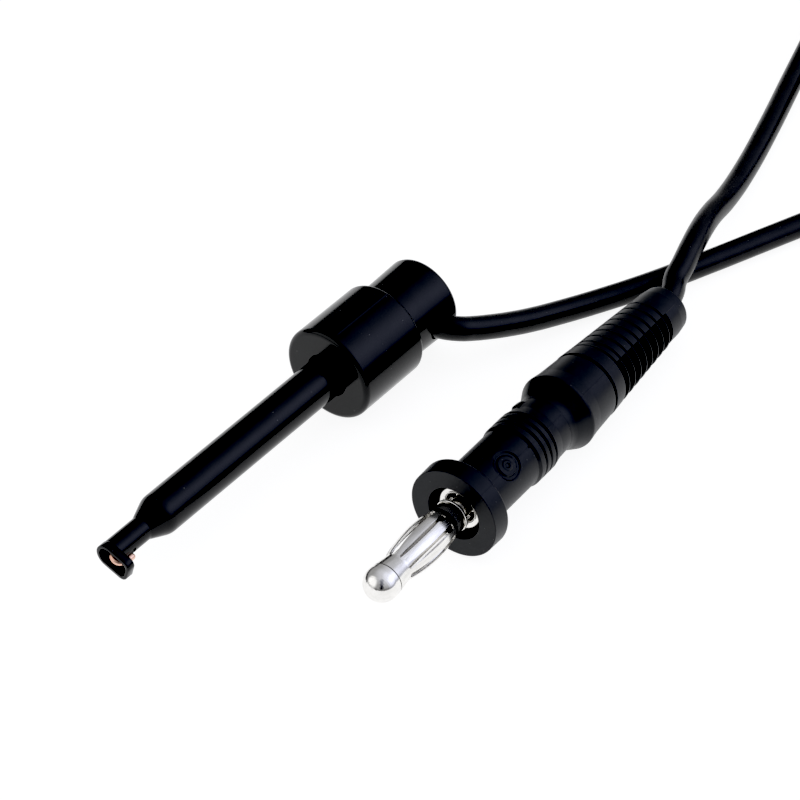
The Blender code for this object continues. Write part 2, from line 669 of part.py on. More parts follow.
def main():
    gloss = principled("clip_plastic", BLACK_GLOSS, 0.12)
    satin = principled("plug_plastic", BLACK_SATIN, 0.42)
    lead = principled("lead_jacket", BLACK_LEAD, 0.32)
    nickel = principled("nickel", NICKEL, 0.16, 1.0)
    brass = principled("brass", BRASS, 0.3, 1.0)
    copper = principled("copper", COPPER, 0.28, 1.0)
    steel = principled("spring_steel", STEEL, 0.3, 1.0)
    band = principled("tie_band", BLACK_SATIN, 0.6)

    make_nose_tube(gloss)
    make_barrel(gloss)
    make_plunger(gloss)
    make_hook_wire(copper)
    make_spring(steel)
    make_spring_seat(brass)
    make_ferrule(brass)
    make_clip_lead_end(copper, steel)

    make_plug_pin(nickel)
    make_contact_cage(nickel)
    make_pin_collar(nickel)
    make_plug_sleeve(satin)
    make_crimp_barrel(brass)
    make_plug_lead_end(copper, steel)
    make_clamp_sleeve(satin)
    make_boot(satin)

    make_lead(lead, band)


clear_scene()
parts = make_collection("test_lead")
cutters = make_collection("cutters")
main()
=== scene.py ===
"""Visual model of a test lead: a spring hook clip, a flexible lead and a 4 mm plug.

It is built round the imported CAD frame, in metres. Outlines of turned pieces are in millimetres,
as (distance along the axis, radius, fillet), in frames whose Z is the piece's axis. Angles about
an axis start from straight down, and 180 degrees is straight up.
"""
import json
import math

import bmesh
import bpy
from mathutils import Matrix, Vector


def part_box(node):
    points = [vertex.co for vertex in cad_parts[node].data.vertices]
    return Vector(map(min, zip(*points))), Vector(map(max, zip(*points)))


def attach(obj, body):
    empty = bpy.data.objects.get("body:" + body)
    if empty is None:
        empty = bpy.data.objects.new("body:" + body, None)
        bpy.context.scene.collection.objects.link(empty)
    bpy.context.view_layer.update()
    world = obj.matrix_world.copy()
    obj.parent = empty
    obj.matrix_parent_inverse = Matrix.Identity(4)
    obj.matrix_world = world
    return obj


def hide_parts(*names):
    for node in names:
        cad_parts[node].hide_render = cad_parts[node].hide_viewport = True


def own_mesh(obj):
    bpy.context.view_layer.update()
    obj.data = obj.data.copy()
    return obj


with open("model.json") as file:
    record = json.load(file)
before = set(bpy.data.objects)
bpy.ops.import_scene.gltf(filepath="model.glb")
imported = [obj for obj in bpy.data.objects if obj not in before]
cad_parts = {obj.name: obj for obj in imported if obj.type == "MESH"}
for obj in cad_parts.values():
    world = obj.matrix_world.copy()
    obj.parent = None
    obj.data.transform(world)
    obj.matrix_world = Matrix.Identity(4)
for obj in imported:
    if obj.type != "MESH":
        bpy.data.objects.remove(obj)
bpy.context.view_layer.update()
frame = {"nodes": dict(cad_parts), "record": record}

MM = 0.001
HOLD = 0.05                   # straight stretch kept beside a fillet, so that flats shade flat
ARC_STEP_DEG = 11.0
SHARP_DEG = 34.0
WELD = 1e-7                   # metres; vertices nearer than this become one
STATION_LEAST_R = 2.5         # walls nearer to the axis than this get no extra stations

# --- places, all from the frame ---------------------------------------------------------------

barrel_low, barrel_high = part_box("finger_barrel")
AXIS_Z = (barrel_low.z + barrel_high.z) / 2 / MM
TIP_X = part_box("nose_tube")[0].x / MM
TAIL_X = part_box("plunger_body")[1].x / MM
joints = {joint["name"]: joint for joint in frame["record"]["behaviour"]["joints"]}
plug_axis = Vector(joints["cage_turn"]["axis"]).normalized()
plug_point = Vector(joints["cage_turn"]["pos_m"])


def frame_at(origin, axis):
    """A frame at origin, in metres, whose Z is the axis and whose X is as near down as it can be."""
    down = Vector((0.0, 0.0, -1.0))
    down = (down - axis * down.dot(axis)).normalized()
    axes = Matrix((down, axis.cross(down), axis)).transposed().to_4x4()
    return Matrix.Translation(origin) @ axes


def nearest_along(node, point, axis):
    """The smallest distance along the axis, from the point, of any corner of a CAD node."""
    return min((vert.co - point).dot(axis) for vert in frame["nodes"][node].data.vertices)


PLUG_R = 2.0
clip = frame_at(Vector((0.0, 0.0, AXIS_Z * MM)), Vector((1.0, 0.0, 0.0)))
nose_start = nearest_along("plug_pin", plug_point, plug_axis) + PLUG_R * MM
plug = frame_at(plug_point + plug_axis * nose_start, plug_axis)

# --- meshes -----------------------------------------------------------------------------------


def outline_points(corners, closed):
    """Points (along, radius) of an outline whose filleted corners become fine arcs."""
    arcs = []
    count = len(corners)
    for i, (along, radius, fillet) in enumerate(corners):
        here = Vector((along, radius))
        if not fillet or (not closed and i in (0, count - 1)):
            arcs.append([here])
            continue
        before = (Vector(corners[i - 1][:2]) - here).normalized()
        after = (Vector(corners[(i + 1) % count][:2]) - here).normalized()
        half = before.angle(after) / 2
        reach = fillet / math.tan(half)
        middle = here + (before + after).normalized() * (fillet / math.sin(half))
        start = here + before * reach - middle
        turn = start.angle_signed(here + after * reach - middle)
        pieces = max(2, math.ceil(abs(turn) / math.radians(ARC_STEP_DEG)))
        arcs.append([middle + Matrix.Rotation(-turn * k / pieces, 2) @ start
                     for k in range(pieces + 1)])
    points = []
    for i, arc in enumerate(arcs):
        points.extend(arc)
        if i == count - 1 and not closed:
            break
        run = arcs[(i + 1) % count][0] - arc[-1]
        if run.length > 3 * HOLD:
            ahead = run.normalized() * HOLD
            points += [arc[-1] + ahead, arcs[(i + 1) % count][0] - ahead]
    return points


def shaded(mesh):
    """Weld the mesh, turn its faces outward, and shade it smooth between its sharp edges."""
    work = bmesh.new()
    work.from_mesh(mesh)
    bmesh.ops.remove_doubles(work, verts=work.verts, dist=WELD)
    bmesh.ops.recalc_face_normals(work, faces=work.faces)
    work.to_mesh(mesh)
    work.free()
    mesh.shade_smooth()
    mesh.set_sharp_from_angle(angle=math.radians(SHARP_DEG))
    return mesh


def mesh_object(name, verts, faces, place=None):
    """A new object in the scene; `place` moves points given in a piece's own frame."""
    mesh = bpy.data.meshes.new(name)
    mesh.from_pydata(verts, [], faces)
    if place is not None:
        mesh.transform(place)
    obj = bpy.data.objects.new(name, shaded(mesh))
    bpy.context.scene.collection.objects.link(obj)
    return obj


def grid_faces(columns, rows, wrap_rows, wrap_columns=True):
    """Quads between neighbouring columns of points that are stored one column after another."""
    faces = []
    for c in range(columns if wrap_columns else columns - 1):
        left, right = c * rows, (c + 1) % columns * rows
        for r in range(rows if wrap_rows else rows - 1):
            nxt = (r + 1) % rows
            faces.append((left + r, right + r, right + nxt, left + nxt))
    return faces


def capped_faces(columns, rows):
    """The same for rings that make a closed body, with a flat face at each end."""
    last = (columns - 1) * rows
    return [*grid_faces(columns, rows, True, wrap_columns=False),
            tuple(range(rows)), tuple(range(last, last + rows))]


def turned(name, corners, place, facets=144, closed=False, relief=None, extra=(), stations=()):
    """A turned piece. `relief` gives a raise in millimetres from (along, angle, radius),
    `extra` adds columns at those angles, and `stations` adds points along the outline."""
    points = outline_points(corners, closed)
    for along in stations:
        for i in range(len(points) - 1):
            a, b = points[i], points[i + 1]
            if (a[0] - along) * (b[0] - along) < 0 and min(a[1], b[1]) > STATION_LEAST_R:
                share = (along - a[0]) / (b[0] - a[0])
                points.insert(i + 1, a.lerp(b, share))
                break
    angles = sorted({*(math.tau * k / facets for k in range(facets)),
                     *(math.radians(a) for a in extra)})
    verts = []
    for angle in angles:
        cos, sin = math.cos(angle), math.sin(angle)
        for along, radius in points:
            rise = relief(along, angle, radius) if relief else 0.0
            verts.append(((radius + rise) * cos * MM, (radius + rise) * sin * MM, along * MM))
    return mesh_object(name, verts, grid_faces(len(angles), len(points), closed), place)


END_CAP_DEG = (89.0, 70.0, 50.0, 30.0, 12.0)   # rings of a wire's round end, from its tip


def swept(name, path, radius, sides, round_ends=True):
    """A round wire along the path, in millimetres of the world, as one closed mesh."""
    path = [Vector(p) for p in path]
    first = (path[1] - path[0]).normalized()
    side = first.orthogonal().normalized()
    rings = []
    for i, point in enumerate(path):
        back = path[max(i - 1, 0)]
        ahead = path[min(i + 1, len(path) - 1)]
        heading = (ahead - back).normalized()
        side = (side - heading * side.dot(heading)).normalized()
        rings.append((point, heading, side, radius))
    if round_ends:
        head, tail = rings[0], rings[-1]
        caps = [math.radians(a) for a in END_CAP_DEG]
        start = [(head[0] - head[1] * radius * math.sin(a), head[1], head[2],
                  radius * math.cos(a)) for a in caps]
        end = [(tail[0] + tail[1] * radius * math.sin(a), tail[1], tail[2],
                radius * math.cos(a)) for a in reversed(caps)]
        rings = start + rings + end
    verts = []
    for centre, heading, across, size in rings:
        other = heading.cross(across)
        for k in range(sides):
            angle = math.tau * k / sides
            offset = across * math.cos(angle) + other * math.sin(angle)
            verts.append((centre + offset * size) * MM)
    return mesh_object(name, verts, capped_faces(len(rings), sides))


def stacked(name, outline_at, levels, place):
    """A closed body made of outlines at levels (height, inset), with flat ends."""
    verts = []
    for height, inset in levels:
        outline = outline_at(inset)
        verts += [(x * MM, y * MM, height * MM) for x, y in outline]
    return mesh_object(name, verts, capped_faces(len(levels), len(outline)), place)


CUTTER_SIDES = 48


def cylinder(name, radius, low, high, place):
    """A plain cylinder along Z between two heights, used as a cutter."""
    angles = [math.tau * k / CUTTER_SIDES for k in range(CUTTER_SIDES)]
    circle = [(radius * math.cos(angle), radius * math.sin(angle)) for angle in angles]
    return stacked(name, lambda inset: circle, [(low, 0.0), (high, 0.0)], place)


def combine(obj, other, operation):
    """Apply a boolean and remove the other object."""
    modifier = obj.modifiers.new(other.name, "BOOLEAN")
    modifier.operation = operation
    modifier.object = other
    modifier.solver = "EXACT"
    depsgraph = bpy.context.evaluated_depsgraph_get()
    mesh = bpy.data.meshes.new_from_object(obj.evaluated_get(depsgraph))
    obj.modifiers.clear()
    old = obj.data
    obj.data = mesh
    bpy.data.meshes.remove(old)
    bpy.data.objects.remove(other, do_unlink=True)
    shaded(mesh)


# --- materials --------------------------------------------------------------------------------


def add(tree, kind, settings=None, **inputs):
    """A new shader node; an underscore in an input's name stands for a space."""
    node = tree.nodes.new(kind)
    for key, value in (settings or {}).items():
        setattr(node, key, value)
    for key, value in inputs.items():
        node.inputs[key.replace("_", " ")].default_value = value
    return node


COLOUR_ENDS = (0.32, 0.70)    # shares of the broad noise that take the dark and light colours
ROUGH_ENDS = (0.3, 0.7)       # and of the fine noise that take the two ends of the roughness
FLECKS_IN_MM = 1.15
FLECK_R = (0.035, 0.055)      # full and none, in cells of the fleck pattern
FLECK_COLOUR = (0.35, 0.35, 0.36, 1.0)


def material(name, dark, light, rough, metallic=0.0, patch=0.6, grain=6.0, bump=0.5,
             bump_deep=2e-6, stretch=(1.0, 1.0, 1.0), specks=0.0):
    """A finish in which colour and roughness vary over the surface. `dark` and `light` are the
    two ends of the colour, `rough` the two ends of the roughness, `patch` and `grain` the
    number of patches and grains in a millimetre, and `specks` how strongly dust flecks show."""
    mat = bpy.data.materials.new(name)
    mat.use_nodes = True
    tree = mat.node_tree
    link = tree.links.new
    shader = tree.nodes["Principled BSDF"]
    shader.inputs["Metallic"].default_value = metallic
    coords = add(tree, "ShaderNodeTexCoord")
    size = add(tree, "ShaderNodeMapping")
    size.inputs["Scale"].default_value = [s / MM for s in stretch]
    link(coords.outputs["Object"], size.inputs["Vector"])
    broad = add(tree, "ShaderNodeTexNoise", Scale=patch, Detail=4.0, Roughness=0.6)
    link(size.outputs["Vector"], broad.inputs["Vector"])
    colours = add(tree, "ShaderNodeValToRGB")
    colours.color_ramp.elements[0].position = COLOUR_ENDS[0]
    colours.color_ramp.elements[0].color = (*dark, 1.0)
    colours.color_ramp.elements[1].position = COLOUR_ENDS[1]
    colours.color_ramp.elements[1].color = (*light, 1.0)
    link(broad.outputs["Fac"], colours.inputs["Fac"])
    colour = colours.outputs["Color"]
    fine = add(tree, "ShaderNodeTexNoise", Scale=grain, Detail=5.0, Roughness=0.65)
    link(size.outputs["Vector"], fine.inputs["Vector"])
    spread = add(tree, "ShaderNodeMapRange", From_Min=ROUGH_ENDS[0], From_Max=ROUGH_ENDS[1],
                 To_Min=rough[0], To_Max=rough[1])
    link(fine.outputs["Fac"], spread.inputs["Value"])
    roughness = spread.outputs["Result"]
    if specks:
        cells = add(tree, "ShaderNodeTexVoronoi", Scale=FLECKS_IN_MM)
        even = add(tree, "ShaderNodeMapping")
        even.inputs["Scale"].default_value = [1 / MM] * 3
        link(coords.outputs["Object"], even.inputs["Vector"])
        link(even.outputs["Vector"], cells.inputs["Vector"])
        near = add(tree, "ShaderNodeMapRange", From_Min=FLECK_R[0], From_Max=FLECK_R[1],
                   To_Min=specks, To_Max=0.0)
        link(cells.outputs["Distance"], near.inputs["Value"])
        dusted = add(tree, "ShaderNodeMix", {"data_type": "RGBA"})
        dusted.inputs["B"].default_value = FLECK_COLOUR
        link(near.outputs["Result"], dusted.inputs["Factor"])
        link(colour, dusted.inputs["A"])
        colour = dusted.outputs["Result"]
    bumps = add(tree, "ShaderNodeBump", Strength=bump, Distance=bump_deep)
    link(fine.outputs["Fac"], bumps.inputs["Height"])
    link(bumps.outputs["Normal"], shader.inputs["Normal"])
    link(colour, shader.inputs["Base Color"])
    link(roughness, shader.inputs["Roughness"])
    return mat


GLOSS = material("clip_plastic", (0.0035, 0.0037, 0.0046), (0.007, 0.0073, 0.0086),
                 (0.12, 0.17), grain=3.0, bump=0.12, specks=0.5)
SATIN = material("plug_plastic", (0.0085, 0.0092, 0.0118), (0.0115, 0.0124, 0.0155),
                 (0.34, 0.43), grain=7.0, bump=0.35, bump_deep=4e-6, specks=0.35)
JACKET = material("lead_jacket", (0.005, 0.005, 0.006), (0.010, 0.010, 0.0115), (0.26, 0.34),
                  grain=4.0, bump=0.4, bump_deep=4e-6, specks=0.35)
NICKEL = material("nickel", (0.82, 0.81, 0.79), (0.92, 0.91, 0.89), (0.10, 0.16), 1.0,
                  patch=0.8, grain=5.0, bump=0.2, bump_deep=1.5e-6)
DRAWN_NICKEL = material("nickel_lamellae", (0.76, 0.75, 0.73), (0.92, 0.91, 0.89), (0.13, 0.23),
                        1.0, patch=2.2, grain=5.0, bump=0.3, bump_deep=3e-6,
                        stretch=(0.14, 1.0, 1.0))
BRASS = material("brass", (0.62, 0.43, 0.18), (0.76, 0.56, 0.27), (0.2, 0.34), 1.0)
COPPER = material("copper", (0.72, 0.46, 0.36), (0.86, 0.62, 0.52), (0.18, 0.30), 1.0)
STEEL = material("spring_steel", (0.42, 0.42, 0.44), (0.58, 0.58, 0.60), (0.22, 0.36), 1.0,
                 grain=8.0)
BAND = material("tie_band", (0.012, 0.012, 0.015), (0.022, 0.022, 0.026), (0.5, 0.7),
                grain=10.0, bump=0.8, bump_deep=1e-5)


def place_piece(obj, mat, body, slot, *nodes):
    """Give a new piece its finish and body, and let it stand for its CAD nodes."""
    obj.data.materials.clear()
    obj.data.materials.append(mat)
    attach(obj, body)
    if nodes:
        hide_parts(*nodes)


for node, mat in (("spring_seat", BRASS), ("contact_ferrule", BRASS), ("clip_conductor", COPPER),
                  ("jacket_stop_ring", STEEL), ("crimp_barrel", BRASS),
                  ("plug_conductor", COPPER), ("jacket_crimp", STEEL)):
    for spot in frame["nodes"][node].material_slots:
        spot.material = mat

# --- camera -----------------------------------------------------------------------------------

CAMERA_PLACE = (-177.38, -157.26, 224.01)
CAMERA_LOOK = (0.785, 0.619)
CAMERA_PITCH_DEG = 42.31
look = Vector((*CAMERA_LOOK, 0.0)).normalized()
pitch = math.radians(CAMERA_PITCH_DEG)
forward = look * math.cos(pitch) - Vector((0.0, 0.0, math.sin(pitch)))
camera = bpy.data.objects.new("camera", bpy.data.cameras.new("camera"))
camera.data.lens = 135.0
camera.data.sensor_width = 36.0
camera.data.clip_start = 0.01
camera.rotation_euler = forward.to_track_quat("-Z", "Y").to_euler()
camera.location = Vector(CAMERA_PLACE) * MM
bpy.context.scene.collection.objects.link(camera)
bpy.context.scene.camera = camera

# --- the lead, one cord from the clip to the plug -----------------------------------------------

LEAD_R = 1.40
EXIT_X = 21.8                 # where the side hole's axis meets the clip's axis
EXIT_TURN_DEG = 18.0
LEAD_START = 2.05             # depth of the jacket's cut end, out from the clip's axis
CLIP_ROUTE = [
    (24.5, -6.6, 5.5), (25.6, -7.2, 5.1), (27.9, -8.3, 4.4), (30.4, -9.2, 3.6),
    (33.0, -10.1, 2.9), (37.1, -11.4, 2.0), (42.0, -13.4, 1.5), (48.0, -16.2, 1.45),
    (55.1, -19.1, 1.45), (65.5, -23.1, 1.45), (77.5, -27.8, 1.45), (88.5, -32.6, 1.45),
    (98.8, -36.8, 1.45),
]
PLUG_ROUTE = [
    (47.5, -19.8, 4.25), (50.0, -19.2, 4.65), (52.4, -18.5, 4.85), (56.3, -17.3, 4.65),
    (60.0, -16.2, 3.9), (65.5, -14.9, 2.5), (72.5, -13.1, 1.6), (81.5, -10.6, 1.45),
    (91.5, -7.6, 1.5), (100.7, -5.1, 2.4),
]
IN_PLUG = ((32.7, 0), (42.0, 0), (51.0, 0), (54.5, 0.2), (57.5, 0.7))   # along, off the axis
BOOT_LEAN = Vector((0.0, 0.8, 0.6))   # the way the lead leans as it leaves the boot
COIL_MIDDLE = (117.5, -22.0)
COIL_RADII = (12.3, 15.1, 17.9, 20.7)
COIL_LOW, COIL_HIGH = 1.45, 4.25
COIL_FROM_DEG, COIL_TO_DEG = -112.1, 105.4 + 7 * 360.0
JOG_DEG = 50.0
INWARD_JOGS = (178.0, 178.0 + 360.0, 178.0 + 720.0)
CLIMB_DEG = 128.0 + 3 * 360.0
OUTWARD_JOGS = (112.0 + 4 * 360.0, 112.0 + 5 * 360.0, 112.0 + 6 * 360.0)
COIL_STEP_DEG = 20.0
TIE_LIFT = 0.62               # the tie's band goes under the turns on the +X side
CURVE_STEPS, ROUND_STEPS = 7, 10


def eased(value):
    """A smooth step: 0 below 0, 1 above 1."""
    value = min(1.0, max(0.0, value))
    return value * value * (3 - 2 * value)


def coil_point(angle):
    """A point of the wound turns: in along the lower layer, up, and out along the upper one."""
    column = 3.0 - sum(eased((angle - start) / JOG_DEG) for start in INWARD_JOGS)
    column += sum(eased((angle - start) / JOG_DEG) for start in OUTWARD_JOGS)
    radius = COIL_RADII[0] + (COIL_RADII[1] - COIL_RADII[0]) * column
    height = COIL_LOW + (COIL_HIGH - COIL_LOW) * eased((angle - CLIMB_DEG) / JOG_DEG)
    turn = math.radians(angle)
    height += TIE_LIFT * max(0.0, math.cos(turn)) ** 10
    return (COIL_MIDDLE[0] + radius * math.cos(turn), COIL_MIDDLE[1] + radius * math.sin(turn),
            height)


exit_turn = math.radians(EXIT_TURN_DEG)
exit_way = Vector((math.sin(exit_turn), -math.cos(exit_turn), 0.0))
exit_start = Vector((EXIT_X, 0.0, AXIS_Z))
clip_run = [exit_start + exit_way * depth for depth in (LEAD_START, 4.2, 5.6)]
plug_run = [plug @ Vector((0, 0, along * MM)) / MM + BOOT_LEAN * off for along, off in IN_PLUG]
steps = round((COIL_TO_DEG - COIL_FROM_DEG) / COIL_STEP_DEG)
coil = [coil_point(COIL_FROM_DEG + (COIL_TO_DEG - COIL_FROM_DEG) * k / steps)
        for k in range(steps + 1)]
route = [*clip_run, *CLIP_ROUTE, *coil, *reversed([*plug_run, *PLUG_ROUTE])]

lead_curve = bpy.data.curves.new("lead", "CURVE")
lead_curve.dimensions = "3D"
lead_curve.bevel_depth = LEAD_R * MM
lead_curve.bevel_resolution = ROUND_STEPS
lead_curve.resolution_u = CURVE_STEPS
lead_curve.use_fill_caps = True
spline = lead_curve.splines.new("BEZIER")
spline.bezier_points.add(len(route) - 1)
for knot, point in zip(spline.bezier_points, route):
    knot.co = Vector(point) * MM
    knot.handle_left_type = knot.handle_right_type = "AUTO"
lead = bpy.data.objects.new("lead", lead_curve)
bpy.context.scene.collection.objects.link(lead)
place_piece(lead, JACKET, "plunger", "lead_jacket", "lead_clip_run", "lead_coil",
            "lead_plug_run")

# --- hook clip ----------------------------------------------------------------------------------

STEM_R = 2.40
STEM_BORE_R = 1.45
STEM_HEAD_R, STEM_HEAD_FRONT, STEM_HEAD_REAR = 3.7, 11.4, 12.2   # held in the barrel
SHOULDER_REAR, SHOULDER_REAR_R, SHOULDER_FRONT = -18.6, 2.38, -21.05
BORE_TAPER_FRONT, BORE_TAPER_REAR = -20.0, -17.8
BARREL_FRONT, BARREL_REAR = 9.1, 19.15
BARREL_R = (barrel_high.z - barrel_low.z) / 2 / MM
SHOE_THICK = 1.0
SHOE_R = 1.42
SHOE_END = 2.90               # far end of the shoe, from the nozzle's axis
SHOE_CORNER_R = 0.85
SHOE_WALL = 0.42
SHOE_POCKET = 0.80
SHOE_DROP_DEG = 17.0
NOZZLE_R = 1.38
NOZZLE_BORE_R = 0.60
WIRE_R = 0.36
LEG_HOLE_R = 0.54
HOOK_TURN_R = 0.84
HOOK_TURN_X = -25.16
HOOK_END_X = -24.1
HOOK_REAR = 20.8


def shoe_outline(inset):
    """Outline of the shoe: round about the nozzle, with a squarer far end."""
    radius = SHOE_R - inset
    end = SHOE_END - inset
    corner = max(0.12, SHOE_CORNER_R - inset * 0.6)
    outline = []
    for k in range(25):
        angle = math.radians(90 + 180 * k / 24)
        outline.append((radius * math.cos(angle), radius * math.sin(angle)))
    for side, start in ((-1, -90), (1, 0)):
        for k in range(9):
            angle = math.radians(start + 90 * k / 8)
            outline.append((end - corner + corner * math.cos(angle),
                            side * (radius - corner) + corner * math.sin(angle)))
    return outline


def shoe_frame(x):
    """A frame at the nozzle's axis whose Z runs to +X and whose X is the way the shoe reaches."""
    drop = math.radians(SHOE_DROP_DEG)
    reach = Vector((0.0, -math.cos(drop), -math.sin(drop)))
    along = Vector((1.0, 0.0, 0.0))
    axes = Matrix((reach, along.cross(reach), along)).transposed().to_4x4()
    return Matrix.Translation(Vector((x, 0.0, AXIS_Z)) * MM) @ axes


def make_nose_tube():
    """The stem, the nozzle and the shoe as one piece, with the hook's bore through it."""
    nozzle_end = TIP_X + 0.9      # just inside the shoe
    nose = turned("nose_tube_shell", [
        (STEM_HEAD_REAR, STEM_HEAD_R, 0.15), (STEM_HEAD_FRONT, STEM_HEAD_R, 0),
        (STEM_HEAD_FRONT, STEM_R, 0), (SHOULDER_REAR, SHOULDER_REAR_R, 2.4),
        (SHOULDER_FRONT, NOZZLE_R, 0.5), (nozzle_end, NOZZLE_R, 0),
        (nozzle_end, NOZZLE_BORE_R, 0), (BORE_TAPER_FRONT, NOZZLE_BORE_R, 0),
        (BORE_TAPER_REAR, STEM_BORE_R, 0), (STEM_HEAD_REAR, STEM_BORE_R, 0),
    ], clip, closed=True)
    shoe = stacked("shoe", shoe_outline, [
        (SHOE_THICK, 0.09), (SHOE_THICK - 0.03, 0.03), (SHOE_THICK - 0.09, 0.0), (0.09, 0.0),
        (0.03, 0.03), (0.0, 0.09), (0.0, SHOE_WALL - 0.06), (0.03, SHOE_WALL - 0.02),
        (0.08, SHOE_WALL), (SHOE_POCKET - 0.1, SHOE_WALL + 0.02),
        (SHOE_POCKET - 0.03, SHOE_WALL + 0.05), (SHOE_POCKET, SHOE_WALL + 0.12),
    ], shoe_frame(TIP_X))
    combine(nose, shoe, "UNION")
    combine(nose, cylinder("bore", NOZZLE_BORE_R, -1.0, 2.0, shoe_frame(TIP_X)), "DIFFERENCE")
    leg = shoe_frame(TIP_X) @ Matrix.Translation((2 * HOOK_TURN_R * MM, 0.0, 0.0))
    combine(nose, cylinder("leg_hole", LEG_HOLE_R, -1.0, 3.0, leg), "DIFFERENCE")
    place_piece(nose, GLOSS, "shell", "clip_plastic", "nose_tube")


BARREL_SEAM_DEG = 187.0
BARREL_SEAM_HALF_DEG = (0.4, 2.0)   # the ridge's flat top, and its foot
BARREL_SEAM_HIGH = 0.05
BARREL_FLOOR, BARREL_BORE_R = 10.7, 4.86


def barrel_seam(along, angle, radius):
    """The low ridge along the barrel where its mould parts."""
    top, foot = BARREL_SEAM_HALF_DEG
    off = abs(math.degrees(angle) - BARREL_SEAM_DEG)
    if off > foot or radius < BARREL_R - 0.3:
        return 0.0
    rise = BARREL_SEAM_HIGH * (1 - max(0.0, off - top) / (foot - top))
    return rise * eased((along - BARREL_FRONT - 0.7) / 0.6) * eased((BARREL_REAR - along) / 0.4)


def make_barrel():
    """The wide barrel, open at the rear, with a hole for the stem in its front."""
    hole = STEM_R + 0.15
    barrel = turned("finger_barrel_shell", [
        (BARREL_REAR, BARREL_R, 0.45), (BARREL_FRONT, BARREL_R, 0.6),
        (BARREL_FRONT, hole, 0.12), (BARREL_FLOOR, hole, 0),
        (BARREL_FLOOR, BARREL_BORE_R, 0.3), (BARREL_REAR, BARREL_BORE_R, 0.08),
    ], clip, closed=True, relief=barrel_seam,
        extra=[BARREL_SEAM_DEG + off for off in (-2.0, -1.2, -0.4, 0.4, 1.2, 2.0)],
        stations=[BARREL_FRONT + 1.0 + 0.3 * k for k in range(32)])
    place_piece(barrel, GLOSS, "shell", "clip_plastic", "finger_barrel")


PLUNGER_FRONT, PLUNGER_R = 15.3, 4.61
PLUNGER_FLARE_FROM, PLUNGER_REAR_R = 17.0, 4.88
PLUNGER_BORE_R, PLUNGER_BORE_END = 3.7, 25.0
SIDE_HOLE_R = 1.60


def make_plunger():
    """The rear cap that the thumb presses, with the lead's hole in its side."""
    plunger = turned("plunger_cap", [
        (TAIL_X, 0, 0), (TAIL_X, PLUNGER_REAR_R, 0.55), (PLUNGER_FLARE_FROM, PLUNGER_R, 0),
        (PLUNGER_FRONT, PLUNGER_R, 0.1), (PLUNGER_FRONT, PLUNGER_BORE_R, 0),
        (PLUNGER_BORE_END, PLUNGER_BORE_R, 0.4), (PLUNGER_BORE_END, 0, 0),
    ], clip)
    out = frame_at(exit_start * MM, exit_way)
    combine(plunger, cylinder("side_hole", SIDE_HOLE_R, 2.0, 6.0, out), "DIFFERENCE")
    place_piece(plunger, GLOSS, "plunger", "clip_plastic", "plunger_body")


def make_hook():
    """The wire along the clip's axis, and its half turn inside the shoe."""
    reach = shoe_frame(0.0).to_3x3() @ Vector((1.0, 0.0, 0.0))
    path = [Vector((HOOK_REAR, 0, AXIS_Z)), Vector((0.0, 0, AXIS_Z)),
            Vector((HOOK_TURN_X + 0.3, 0, AXIS_Z))]
    for k in range(25):
        angle = math.pi * k / 24
        ahead = HOOK_TURN_X - HOOK_TURN_R * math.sin(angle)
        out = HOOK_TURN_R * (1 - math.cos(angle))
        path.append(Vector((ahead, 0, AXIS_Z)) + reach * out)
    path.append(Vector((HOOK_END_X - 0.25, 0, AXIS_Z)) + reach * 2 * HOOK_TURN_R)
    hook = swept("hook_wire_bent", path, WIRE_R, 24)
    place_piece(hook, COPPER, "plunger", "copper", "hook_wire")


SPRING_FRONT, SPRING_REAR = 12.5, 18.6
SPRING_R, SPRING_WIRE_R = 2.3, 0.22
SPRING_TURNS = 6.5


def make_spring():
    """An open coil whose turns close up towards both ends."""
    length = SPRING_REAR - SPRING_FRONT - 2 * SPRING_WIRE_R
    path = []
    count = round(SPRING_TURNS * 28)
    for k in range(count + 1):
        share = k / count
        angle = math.tau * SPRING_TURNS * share
        pitch_ease = share - 0.55 * math.sin(math.tau * share) / math.tau
        path.append((SPRING_FRONT + SPRING_WIRE_R + length * pitch_ease,
                     SPRING_R * math.cos(angle), AXIS_Z + SPRING_R * math.sin(angle)))
    spring = swept("return_spring_wound", path, SPRING_WIRE_R, 12, round_ends=False)
    place_piece(spring, STEEL, "plunger", "spring_steel", "return_spring")
    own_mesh(spring)


make_nose_tube()
make_barrel()
make_plunger()
make_hook()
make_spring()

# --- plug -----------------------------------------------------------------------------------------

PIN_CORE_R = 1.34             # the pin inside the cage, seen through its slots
HEAD_REAR = 0.73
RING_FRONT, RING_REAR = 12.4, 12.7
NECK_R, NECK_REAR = 1.15, 15.5
SHANK_R, SHANK_REAR = 1.45, 18.6
CAGE_FRONT, CAGE_REAR = 0.8, 12.1
CAGE_END_R = 1.93
CAGE_WAIST_R, CAGE_WAIST_AT = 1.68, 2.8
CAGE_BULGE_R, CAGE_BULGE_AT = 2.24, 7.2
CAGE_BAND_R = 1.85            # the plain band behind the slots
CAGE_WALL = 0.22
CAGE_SLOTS = 9
CAGE_SLOT_DEG = 195.6
CAGE_SLOT_WIDE = 0.66
CAGE_SLOT_LONG = 7.6
CAGE_SLOT_AT = 6.55


def nose_arc(pieces=14):
    """Quarter circle of the round nose, from its side to its front."""
    angles = [math.pi / 2 * k / pieces for k in range(pieces)]
    return [(-PLUG_R * math.sin(angle), PLUG_R * math.cos(angle), 0) for angle in angles]


